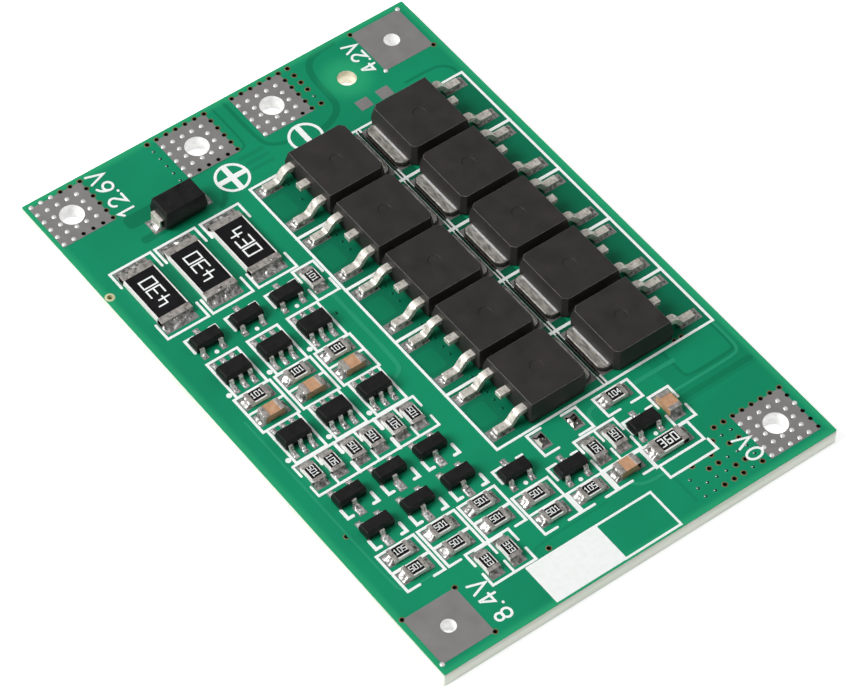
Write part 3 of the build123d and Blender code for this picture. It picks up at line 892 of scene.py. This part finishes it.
def relief(name, material, rise, strokes=(), sheets=()):
    """Strokes are (width, points), and sheets are (x0, x1, y0, y1, corner radius)."""
    bm = bmesh.new()
    for width, points in strokes:
        add_stroke(bm, eased(eased(points)), width, COAT_Z - RELIEF_ROOT, COAT_Z + rise)
    for x0, x1, y0, y1, r in sheets:
        near = [(x, y) for x, y in clear_vias if x0 - 1 < x < x1 + 1 and y0 - 1 < y < y1 + 1]
        holes = [circle(x, y, VIA_R, VIA_SIDES) for x, y in near]
        top = COAT_Z + rise + next_lift() * 0.1
        add_sheet(bm, rounded_rect(x0, x1, y0, y1, r), holes, COAT_Z - RELIEF_ROOT, top, bottom=False)
    piece(name, bm, material)


ROUND_MINUS = [
    (-29.6, 12.4), (-29.5, 10.3), (-28.7, 9.1), (-27.2, 8.55), (-24.1, 8.55), (-22.9, 8.1), (-22.2, 7.0),
    (-21.8, 5.5),
]
BESIDE_4V2 = [(-21.95, 14.9), (-21.95, 17.8), (-21.6, 18.8), (-20.9, 19.3), (-20.4, 19.35)]
BELOW_MINUS = [(-29.6, 0.45), (-24.2, 0.45), (-23.2, 0.9), (-22.7, 1.8), (-22.6, 2.2)]
ROUND_PLUS = [(-29.6, -0.75), (-24.5, -0.75), (-24.1, -1.15), (-24.1, -7.2)]
ROUND_POUR = [(15.0, 13.95), (17.95, 13.95), (18.3, 14.3), (18.3, 18.95), (17.95, 19.3), (15.0, 19.3)]
BESIDE_0V = [(19.75, 12.2), (19.75, 19.6)]
BELOW_SIGN = [(-21.4, -5.2), (-20.4, -5.7), (-19.9, -6.5)]
DIODE_GAPS = [(-23.8, -22.3, -14.4, -10.5, 0.5), (-21.1, -20.3, -14.3, -10.5, 0.3)]
RESISTOR_GAPS = [(-18.4, -11.9, -10.0, -9.2, 0.1), (-18.4, -11.9, -14.55, -13.85, 0.1)]
relief("gaps", MASK_GAP_AND_SHADE, 0.001, [
    (0.65, ROUND_MINUS), (0.3, BESIDE_4V2), (0.4, BELOW_MINUS), (0.2, ROUND_PLUS), (0.3, ROUND_POUR),
    (0.6, BESIDE_0V), (0.5, BELOW_SIGN),
], DIODE_GAPS + RESISTOR_GAPS)

UNDER_SPARE = [(25.8, 6.5), (28.6, 6.5)]
BETWEEN_SIGNS = [[(x, 0.2), (x, y)] for x, y in ((-23.3, -2.2), (-22.5, -1.9), (-21.7, -1.9))]
BESIDE_RATING = [(24.4, 0.5), (24.4, -6.8), (24.9, -7.4)]
relief(
    "gaps_between_pours", MASK_SOFT, 0.001,
    [(0.25, UNDER_SPARE)] + [(0.4, points) for points in BETWEEN_SIGNS] + [(0.2, BESIDE_RATING)],
    [(14.95, 20.4, 12.2, 20.0, 0.4)],
)
# Painted shade: dark green sheets between the tabs, where the tall bodies shade the coat
relief("painted_shade_between_tabs", MASK_SHADE_BETWEEN_TABS, 0.001, sheets=[(x - 0.9, x + 0.9, 6.6, 9.6, 0.3) for x in GRID_X[1:-1]])
# The seam between the rows: a gap between pours, darkened further as painted shade of the transistors on both
# sides
relief("seam", MASK_SEAM_GAP_AND_SHADE, 0.003, [(0.5, [(-19.9, SEAM_Y), (14.8, SEAM_Y)])])
# The lead zones of both rows: the gaps' darker green, darkened further as painted shade of the transistors
relief("gaps_and_painted_shade_among_leads", MASK_LEAD_GAPS_AND_SHADE, 0.001, sheets=[
    (-20.0, 14.65, -3.35, 1.4, 0.2), (-20.0, 14.65, 15.7, 19.55, 0.2),
])
relief("traces", MASK_TRACE_AND_GLINT, 0.008, [
    (0.3, [(15.1, 19.5), (17.9, 19.5), (18.6, 19.2), (18.8, 18.5), (18.8, 12.4)]),
    (0.45, [(16.2, 14.2), (16.2, 9.95)]),
    (0.4, [(16.1, 6.1), (16.1, 5.4), (16.5, 4.8), (17.6, 4.65)]),
    (0.35, [(24.9, 6.2), (24.9, 4.6), (24.6, 3.8), (24.0, 3.2)]),
    (0.22, [(0.3, -18.55), (20.8, -18.55), (21.5, -18.2), (21.75, -17.6), (21.75, -14.2)]),
    (0.4, [(-6.3, -4.6), (2.7, -4.6), (3.5, -4.95), (3.85, -5.7)]),
])
relief("pours", MASK, 0.006, sheets=[(14.95, 18.1, 14.1, 19.1, 0.5)])
# Painted shade: the pours among the leads take the gaps' darker green, for the shade of the transistors
relief("pours_among_leads_painted_shade", MASK_GAP_AND_SHADE, 0.003, sheets=[(x - 1.2, x + 1.2, -3.1, -1.3, 0.35) for x in POWER_X])

# Power transistors

RECESS_R, RECESS_DEPTH = 0.62, 0.08
# Bands of tilt: the bodies' rounded edges take the paler epoxy, a painted highlight, and the tabs' sides and
# rounded edges the darker metal, a painted shade
BODY_BAND, TAB_BAND = (0.3, 0.97), (ANY_TILT, 0.95)
BODY_ROUND, TAB_ROUND, LEAD_ROUND = 0.07, 0.23, 0.05
HIGHLIGHT_W, HIGHLIGHT_RISE, HIGHLIGHT_INSET = 0.17, 0.012, 0.3

for i in POWER:
    softened(
        f"power_body_{i}", [f"mosfet_body_{i}"], (POWER_EPOXY, POWER_EDGE_HIGHLIGHT), BODY_ROUND,
        recess=(RECESS_R, RECESS_DEPTH), band=BODY_BAND,
    )
    softened(
        f"power_tab_{i}", [f"mosfet_tab_{i}"], (TAB, TAB_SIDE_SHADE), TAB_ROUND, 3, band=TAB_BAND,
    )
    softened(f"power_leads_{i}", [f"mosfet_leads_{i}"], TIN, LEAD_ROUND)

# A painted highlight: a thin bright line on each tab along the foot of its moulding, where the tab catches
# the light
bm = bmesh.new()
for i in POWER:
    tab_low, tab_high = box_mm(f"mosfet_tab_{i}")
    low, high = box_mm(f"mosfet_body_{i}")
    if tab_low.y < low.y:
        y0, y1 = low.y - HIGHLIGHT_W, low.y + 0.02
    else:
        y0, y1 = high.y - 0.02, high.y + HIGHLIGHT_W
    outline = rounded_rect(tab_low.x + HIGHLIGHT_INSET, tab_high.x - HIGHLIGHT_INSET, y0, y1, 0.05)
    add_sheet(bm, outline, [], tab_high.z - 0.02, tab_high.z + HIGHLIGHT_RISE, bottom=False)
piece("tab_lines", bm, PAINTED_GLINT_WHITE)

# Chips and small packages

for name, node, material, slot, width, segments in (
    ("balance_ends", "balance_resistor_ends", CHIP_END, "tin_plate", 0.03, 1),
    ("chip_ends", "chip_resistor_ends", CHIP_END, "tin_plate", 0.03, 1),
    ("capacitor_ends", "chip_capacitor_ends", CHIP_END, "tin_plate", 0.03, 1),
    ("switch_bodies", "transistor_bodies", PACKAGE_EPOXY, "package_epoxy", 0.05, 2),
    ("balance_circuits", "balance_ic_bodies", PACKAGE_EPOXY, "package_epoxy", 0.05, 2),
    ("protection_circuits", "protection_ic_bodies", PACKAGE_EPOXY, "package_epoxy", 0.05, 2),
    ("diode", "diode_body", PACKAGE_EPOXY, "package_epoxy", 0.08, 2),
    ("diode_strap", "diode_straps", TIN, "tin_plate", 0.03, 1),
):
    softened(name, [node], material, width, segments)

# CAD nodes that stay as they are and only take a material
CARRIED = {
    "balance_resistor_cores": CERAMIC, "chip_resistor_cores": CERAMIC,
    "balance_resistor_films": GLAZE,
    "chip_capacitor_cores": CAPACITOR, "component_lands": TINNED,
    "transistor_leads": LEAD_TIN, "balance_ic_leads": LEAD_TIN, "protection_ic_leads": LEAD_TIN,
}
for node, mat in CARRIED.items():
    data = NODES[node].data
    data.materials.clear()
    data.materials.append(mat)

# Solder on the lands, by what stands on each

LAND_EDGE = 0.04
FOOT_L = 1.3
BIG_CHIP_W = 3
WET_RISE = 0.012
LOWER_FEET_BELOW, UPPER_TABS_ABOVE = 5, 8
BARE_PADS_X, BARE_PADS_Y = (15, 18), (-1, 5)

standing = []
for kind, nodes in (
    ("chip", ("balance_resistor_ends", "chip_resistor_ends", "chip_capacitor_ends")),
    ("lead", ("transistor_leads", "balance_ic_leads", "protection_ic_leads")),
    ("strap", ("diode_straps",)),
    ("foot", [f"mosfet_leads_{i}" for i in POWER]),
    ("tab", [f"mosfet_tab_{i}" for i in POWER]),
):
    for node in nodes:
        standing += [(a, b, kind) for a, b in islands(node) if kind != "foot" or a.z < LAND_Z + 0.1]


def standing_on(low, high):
    """What covers most of a land, as (low corner, high corner, kind), or none."""
    best, most = None, 0
    for a, b, kind in standing:
        wide = min(b.x, high.x) - max(a.x, low.x)
        deep = min(b.y, high.y) - max(a.y, low.y)
        if wide > 0 and deep > 0 and wide * deep > most:
            best, most = (a, b, kind), wide * deep
    return best


solder, joints, wet = bmesh.new(), bmesh.new(), bmesh.new()
for low, high in islands("component_lands"):
    x, y = middle(low, high)
    land = (low.x + LAND_EDGE, high.x - LAND_EDGE, low.y + LAND_EDGE, high.y - LAND_EDGE)
    found = standing_on(low, high)
    if not found:
        if BARE_PADS_X[0] < x < BARE_PADS_X[1] and BARE_PADS_Y[0] < y < BARE_PADS_Y[1]:
            add_solder(wet, land, None, 0.12, 0, 1, rough=0.12, waist=0.3)
        continue
    a, b, kind = found
    body = (a.x, b.x, a.y, b.y)
    if kind == "chip":
        rough = 0.3 if high.y - low.y > BIG_CHIP_W else 0.15
        add_solder(solder, land, body, 0.06, (b.z - LAND_Z) * 0.75, 0.5, rough=rough)
    elif kind == "lead":
        body = (max(a.x, low.x + 0.1), min(b.x, high.x - 0.1), a.y, b.y)
        add_solder(joints, land, body, 0.05, 0.16, 0.22, pitch=0.08)
    elif kind == "strap":
        add_solder(solder, land, body, 0.05, 0.3, 0.4)
    elif kind == "foot":
        reach = (a.y, a.y + FOOT_L) if y < LOWER_FEET_BELOW else (b.y - FOOT_L, b.y)
        add_solder(solder, land, (a.x, b.x, *reach), 0.03, 0.34, 0.3, pitch=0.1, rough=0.05)
    elif kind == "tab":
        front = (low.y, a.y + 0.05) if y > UPPER_TABS_ABOVE else (b.y - 0.05, high.y)
        outline = rounded_rect(land[0], land[1], *front, 0.02, 1)
        add_sheet(wet, outline, [], LAND_Z, LAND_Z + WET_RISE, bottom=False)
piece("solder", solder, SOLDER, sharp=70)
piece("small_joints", joints, JOINT, sharp=70)
piece("wet_solder", wet, WET, sharp=70)

# The black glaze of the small chips stands a little over the film that it covers

FILM_RISE = 0.03

bm = bmesh.new()
films = islands("chip_resistor_films")
for low, high in films:
    outline = rounded_rect(low.x, high.x, low.y, high.y, 0.08, 3)
    add_sheet(bm, outline, [], low.z, high.z + FILM_RISE)
piece("chip_glaze", bm, GLAZE, ["chip_resistor_films"])

# Printed white lines: each helper draws in the board's own places, moved as the print is

INK_LOW = COAT_Z - 0.01
INK_TOP = COAT_Z + 0.02
LINE = 0.24
PRINT_SHIFT = (0.12, -0.03)
ink = bmesh.new()


def line(*points, width=LINE, closed=False):
    moved = [(x + PRINT_SHIFT[0], y + PRINT_SHIFT[1]) for x, y in points]
    add_stroke(ink, moved, width, INK_LOW, INK_TOP, closed=closed)


def frame_line(x0, x1, y0, y1, width=LINE):
    line((x0, y0), (x1, y0), (x1, y1), (x0, y1), width=width, closed=True)


def ring(x, y, r, width):
    line(*circle(x, y, r, 28), width=width, closed=True)


def dot(x, y, r=0.2):
    line((x - 0.01, y), (x + 0.01, y), width=2 * r)


def notched_x(x0, x1, y0, y1, gap=0.5):
    """A box with a gap in the middle of its two long sides along x."""
    cx = (x0 + x1) / 2
    line((cx - gap, y1), (x0, y1), (x0, y0), (cx - gap, y0))
    line((cx + gap, y1), (x1, y1), (x1, y0), (cx + gap, y0))


def notched_y(x0, x1, y0, y1, gap=0.6):
    """A box with a gap in the middle of its right side."""
    cy = (y0 + y1) / 2
    line((x1, cy + gap), (x1, y1), (x0, y1), (x0, y0), (x1, y0), (x1, cy - gap))


# Grid round the power transistors, with a double line along the seam

GRID_W = 0.3
SEAM_LINES = ((8.25, 0.2), (7.9, 0.14))
SEAM_THIN_DROP = 0.03
SEAM_THIN_SHARE = 0.4

for x in GRID_X[1:-1]:
    line((x, GRID_Y[0]), (x, GRID_Y[1]), width=GRID_W)
frame_line(GRID_X[0], GRID_X[-1], *GRID_Y)
for y, width in SEAM_LINES:
    line((GRID_X[0], y), (GRID_X[0] + 0.4, y), width=width)
    line((GRID_X[-1] - 1.0, y), (GRID_X[-1], y), width=width)
    thin_y, thin = y - SEAM_THIN_DROP, width * SEAM_THIN_SHARE
    for x in GRID_X[1:-1]:
        line((x - 1.15, y), (x + 0.3, y), width=width)
        line((x, thin_y), (x + 1.2, thin_y), width=thin)
line((GRID_X[0], 7.87), (GRID_X[-1], 7.87), width=0.05)

# Polarity signs

SIGN_R = 1.5
SIGN_BAR = SIGN_R - 0.2
SIGN_X, PLUS_Y, MINUS_Y = -22.12, -3.87, 4.03

for y in (PLUS_Y, MINUS_Y):
    ring(SIGN_X, y, SIGN_R, 0.26)
    line((SIGN_X - SIGN_BAR, y), (SIGN_X + SIGN_BAR, y), width=0.52)
    if y == PLUS_Y:
        line((SIGN_X, y - SIGN_BAR), (SIGN_X, y + SIGN_BAR), width=0.52)

# Voltage marks, read from the far side of the board

MARK_W = 0.22

for text, x, y, high, step in (
    ("12.6V", -26.62, -13.45, 1.52, 1.36), ("4.2V", -26.65, 13.36, 1.32, 1.22),
    ("8.4V", 26.5, -13.15, 1.5, 1.4), ("0V", 27.05, 13.42, 1.5, 1.55),
):
    add_text(ink, text, ROUND, x, y, high, step, 180, MARK_W, INK_LOW, INK_TOP)

# Left blank: the rating's outlined box and white field, and the box by the long resistor

frame_line(25.6, 29.6, -1.8, 4.0, width=0.22)
add_sheet(ink, rounded_rect(25.6, 29.8, -8.98, -1.78, 0.05, 1), [], INK_LOW, INK_TOP)
line((24.2, 11.3), (25.45, 11.3), (25.45, 6.3), (24.2, 6.3))

# Corner brackets of the three balance resistors

BRACKET_L = 1.8

for y0, y1 in ((-9.2, -5.2), (-13.95, -9.8), (-18.6, -14.4)):
    for x, way in ((-19.45, 1), (-10.8, -1)):
        end = x + BRACKET_L * way
        line((end, y0), (x, y0), (x, y1), (end, y1))

# Boxes of the three cell rows, each drawn about the middle of its row

CELL_Y = (-7.75, -11.9, -16.05)
SWITCH_X = -9.75
CIRCUIT_BOXES = ((-6.65, -2.3), (1.9, 6.05))
CAPACITOR_BOX = (-2.25, -0.25, 1.9)
DRIVER_X = (12.1, 15.9)
PULL_UP_X = (17.5, 19.65)
PULL_UP_W = 2.1

for y in CELL_Y:
    line((SWITCH_X, y + 0.9), (SWITCH_X, y + 1.5), (-9.3, y + 1.5))
    line((SWITCH_X, y - 0.7), (SWITCH_X, y - 1.6), (-8.2, y - 1.6))
    dot(-7.3, y - 0.02)
    for x0, x1 in CIRCUIT_BOXES:
        frame_line(x0, x1, y - 1.52, y + 1.58)
        dot(x1 - 0.6, y - 1.9, 0.25)
    x0, x, x1 = CAPACITOR_BOX
    frame_line(x0, x1, y - 1.88, y + 1.8)
    line((x, y - 1.88), (x, y + 1.8))
    for x in DRIVER_X:
        line((x, y + 1.65), (x + 1.0, y + 1.65), (x + 1.0, y + 1.15), width=0.3)
        line((x, y - 1.45), (x + 1.0, y - 1.45), (x + 1.0, y - 0.95), width=0.3)
    for x in PULL_UP_X:
        end = x + PULL_UP_W
        line((end, y + 0.75), (end, y + 1.85), (x, y + 1.85), (x, y - 1.9), (end, y - 1.9), (end, y - 0.7))

# Sense resistors: one tall box cut into six, with the pairs parted by thicker lines

SENSE_X = (6.2, 9.85)
SENSE_NOTCH = (7.4, 8.7)
SENSE_LINES = (
    (-5.7, 0.21), (-7.75, 0.21), (-9.75, 0.35), (-11.85, 0.21), (-13.85, 0.35), (-15.95, 0.21),
    (-18.05, 0.21),
)

for x in SENSE_X:
    line((x, SENSE_LINES[0][0]), (x, SENSE_LINES[-1][0]))
for y, width in SENSE_LINES:
    for x, end in zip(SENSE_X, SENSE_NOTCH):
        line((min(x, end), y), (max(x, end), y), width=width)

# Boxes of the other chips

for box in (
    (-10.5, -6.7, -5.95, -3.75), (21.6, 25.3, -12.05, -9.85), (21.6, 25.3, -9.85, -7.65),
    (17.9, 21.6, 2.1, 4.2), (17.9, 21.6, 4.2, 6.3), (17.95, 21.65, 10.0, 12.1),
):
    notched_x(*box)
for box in (
    (19.4, 21.65, -5.55, -1.85), (21.65, 23.85, -5.55, -1.85), (21.7, 23.85, -1.6, 1.95),
    (21.75, 23.85, 2.2, 6.1),
):
    notched_y(*box)
frame_line(21.75, 24.0, 6.0, 11.05)
notched_y(15.35, 17.5, 6.15, 9.8)
for y0, y1 in ((3.0, 4.5), (0.8, -0.65)):
    line((15.1, y0), (15.1, y1), (17.6, y1), (17.6, y0))
for x, y in ((16.35, -3.6), (18.75, 0.25), (18.75, 8.2)):
    line((x, y + 0.9), (x, y + 1.5))
    line((x, y - 0.7), (x, y - 1.6), (x + 1.4, y - 1.6))
    dot(x + 2.45, y - 0.02)

piece("printing", ink, INK)

# Marks of the resistors: most of the small ones read 501, and these read otherwise

OTHER_MARKS = (
    (-8.72, -5.05, "101"), (-1.26, -7.96, "101"), (-1.26, -12.1, "101"), (-1.26, -16.24, "101"),
    (7.94, -8.92, "105"), (7.94, -15.28, "105"), (18.48, -16.24, "105"), (22.75, 0.06, "105"),
    (19.72, 2.93, "105"), (16.3, 7.77, "104"), (22.75, 8.28, "360"),
    (23.48, -8.95, "333"), (23.48, -11.17, "333"),
)
MARK_SINK = 0.01
LONG_FILM = 1.5
LONG_MARK = {"high": 0.8, "step": 0.66, "width": 0.11, "slim": 0.8}
SHORT_MARK = {"high": 0.52, "step": 0.4, "width": 0.066, "slim": 0.86}
BIG_MARK = {"high": 1.4, "step": 1.13, "width": 0.15}


def mark_of(x, y):
    near = [text for mx, my, text in OTHER_MARKS if abs(x - mx) < 0.2 and abs(y - my) < 0.3]
    return near[0] if near else "501"


marks = bmesh.new()
for low, high in films:
    x, y = middle(low, high)
    wide, deep = high.x - low.x, high.y - low.y
    top = high.z + FILM_RISE
    size = LONG_MARK if max(wide, deep) > LONG_FILM else SHORT_MARK
    turn = 90 if deep > wide else 0
    add_text(marks, mark_of(x, y), SMALL, x, y, turn=turn, z0=top - MARK_SINK, z1=top + MARK_SINK, **size)
for i, (low, high) in enumerate(sorted(islands("balance_resistor_films"), key=lambda b: -b[0].y)):
    x, y = middle(low, high)
    turn = 180 if i else 0
    z0, z1 = high.z - MARK_SINK, high.z + MARK_SINK
    add_text(marks, "430", SQUARE, x, y, turn=turn, z0=z0, z1=z1, **BIG_MARK)
piece("resistor_marks", marks, INK)

# Floor, light and camera

FLOOR_HALF = 3.0
FLOOR_DROP = 0.00002
FLOOR_GREY = 0.8
FLOOR_GLOW = 0.6
WORLD_LIGHT = 0.2
# Each light's place in metres, its size and its power; all are aimed at the board's middle
LIGHTS = {
    "key": ((-0.22, -0.72, 0.66), 0.6, 9.2),
    "fill": ((-0.5, -0.15, 1.0), 0.7, 2.2),
    "rim": ((0.2, 0.75, 0.7), 0.35, 0.9),
}
FOCAL_PIXELS = 4153.6
IMAGE_WIDTH = 853
SENSOR_WIDTH = 36
CAMERA_AT = Vector((171.18, -136.62, 275.73)) * MM
CAMERA_AIM = Vector((2.11, -1.057, 0.0)) * MM
CAMERA_ROLL = math.radians(1.884)


def stage_floor():
    """White paper, which is also lit from itself where it is seen, mirrored or seen through."""
    mesh = bpy.data.meshes.new("floor")
    near, far = -FLOOR_HALF, FLOOR_HALF
    mesh.from_pydata([(near, near, 0), (far, near, 0), (far, far, 0), (near, far, 0)], [], [(0, 1, 2, 3)])
    floor = bpy.data.objects.new("floor", mesh)
    bpy.context.collection.objects.link(floor)
    floor.location.z = -FLOOR_DROP
    mat, tree, bsdf = shader("floor_paper")
    bsdf.inputs["Base Color"].default_value = (FLOOR_GREY, FLOOR_GREY, FLOOR_GREY, 1)
    bsdf.inputs["Roughness"].default_value = 0.9
    bsdf.inputs["Emission Color"].default_value = (1, 1, 1, 1)
    path = tree.nodes.new("ShaderNodeLightPath")
    seen = path.outputs["Is Camera Ray"]
    for ray in ("Is Glossy Ray", "Is Transmission Ray"):
        seen = maths(tree, "MAXIMUM", seen, path.outputs[ray])
    tree.links.new(maths(tree, "MULTIPLY", seen, FLOOR_GLOW), bsdf.inputs["Emission Strength"])
    mesh.materials.append(mat)


def facing(at, aim):
    """The turn that points a light or a camera from one place at another."""
    return (aim - at).to_track_quat("-Z", "Y")


def area_light(name, at, size, power):
    data = bpy.data.lights.new(name, "AREA")
    data.shape = "DISK"
    data.size = size
    data.energy = power
    obj = bpy.data.objects.new(name, data)
    obj.location = at
    obj.rotation_euler = facing(Vector(at), Vector()).to_euler()
    bpy.context.collection.objects.link(obj)


def add_world():
    world = bpy.data.worlds.new("studio")
    bpy.context.scene.world = world
    world.use_nodes = True
    background = world.node_tree.nodes["Background"]
    background.inputs["Color"].default_value = (1, 1, 1, 1)
    background.inputs["Strength"].default_value = WORLD_LIGHT


def add_camera():
    camera = bpy.data.cameras.new("camera")
    camera.sensor_width = SENSOR_WIDTH
    camera.lens = FOCAL_PIXELS * SENSOR_WIDTH / IMAGE_WIDTH
    camera.clip_start = 0.01
    viewpoint = bpy.data.objects.new("camera", camera)
    turned = facing(CAMERA_AT, CAMERA_AIM).to_matrix() @ Matrix.Rotation(CAMERA_ROLL, 3, "Z")
    viewpoint.matrix_world = Matrix.Translation(CAMERA_AT) @ turned.to_4x4()
    bpy.context.collection.objects.link(viewpoint)
    bpy.context.scene.camera = viewpoint


stage_floor()
for name, (at, size, power) in LIGHTS.items():
    area_light(name, at, size, power)
add_world()
add_camera()
bpy.context.scene.view_settings.view_transform = "Standard"
